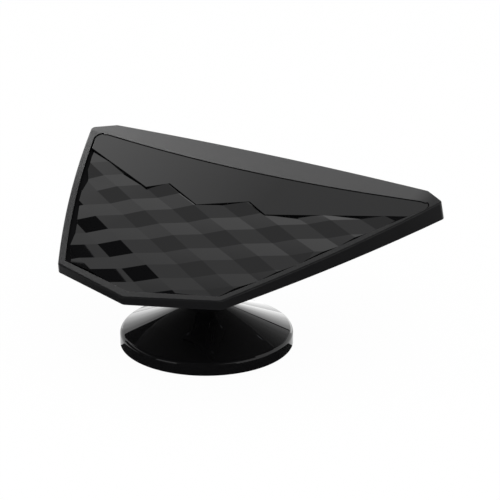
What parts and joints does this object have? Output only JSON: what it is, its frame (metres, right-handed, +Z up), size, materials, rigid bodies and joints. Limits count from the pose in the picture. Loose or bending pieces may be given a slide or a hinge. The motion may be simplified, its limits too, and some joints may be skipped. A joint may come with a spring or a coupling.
{
  "type": "indoor tv antenna",
  "caption": "Flat shield-shaped indoor TV antenna panel with a faceted front, tilting on a friction hinge over a round weighted base.",
  "frame": {"origin": "centre of the base's underside, on the table", "axes": "+X along the panel's long back edge, +Y from the nose towards that edge, +Z up"},
  "size_m": [0.2372, 0.1665, 0.091],
  "materials": {
    "frame_abs": "satin black moulding",
    "insert_abs": "polished black moulding",
    "base_abs": "piano black moulding",
    "cover_abs": "fine textured black moulding",
    "rubber": "matt black",
    "screw_steel": "zinc plated",
    "ballast_steel": "bare cast",
    "tin_plate": "tinned sheet",
    "board": "green solder mask",
    "foil": "bare copper",
    "ferrite": "sintered",
    "washer_nylon": "natural nylon"
  },
  "bodies": {
    "base": {"pedestal": "base_abs", "base_plate": "cover_abs", "ballast_disc": "ballast_steel", "base_screw": "screw_steel", "anti_slip_pad": "rubber"},
    "panel": {"front_frame": "frame_abs", "trim_panel": "insert_abs", "facet_panel": "insert_abs", "rear_cover": "cover_abs", "cover_screws": "screw_steel", "antenna_board": "board", "board_screws": "screw_steel", "radiator_foils": "foil", "amplifier_shield": "tin_plate", "balun_core": "ferrite", "cable_gland": "rubber", "hinge_bracket": "cover_abs", "bracket_screws": "screw_steel", "hinge_bolt": "screw_steel", "hinge_nut": "screw_steel", "friction_washers": "washer_nylon", "hinge_caps": "cover_abs"}
  },
  "joints": [
    {"name": "panel_tilt", "type": "hinge", "parent": "base", "child": "panel", "pos_m": [0, 0, 0.056], "axis": [1, 0, 0], "range_deg": [-50, 30]}
  ]
}
